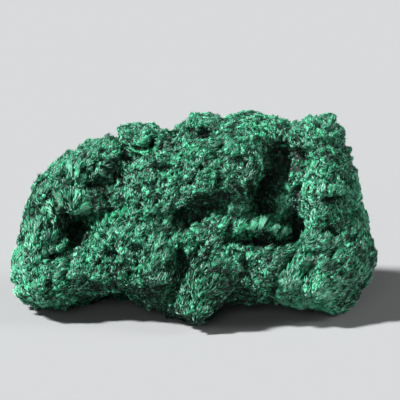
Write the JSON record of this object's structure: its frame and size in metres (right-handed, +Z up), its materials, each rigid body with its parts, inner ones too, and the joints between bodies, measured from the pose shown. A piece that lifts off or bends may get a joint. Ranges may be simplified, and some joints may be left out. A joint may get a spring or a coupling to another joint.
{
  "type": "malachite specimen",
  "caption": "Rough lump of green fibrous malachite with a velvety crystal surface, a round hollow and a deep pocket in its broad face, resting on low feet.",
  "frame": {"origin": "on the surface the stone rests on, under the middle of its bounding box", "axes": "+X to the right along the stone's length, -Y out of its broad face, +Z up"},
  "size_m": [0.1018, 0.0572, 0.0537],
  "materials": {
    "fibrous_malachite": "velvety mass of fine green needle crystals, dull in the hollows and silky on the tips"
  },
  "bodies": {
    "root": {"malachite_specimen": "fibrous_malachite"}
  },
  "joints": []
}
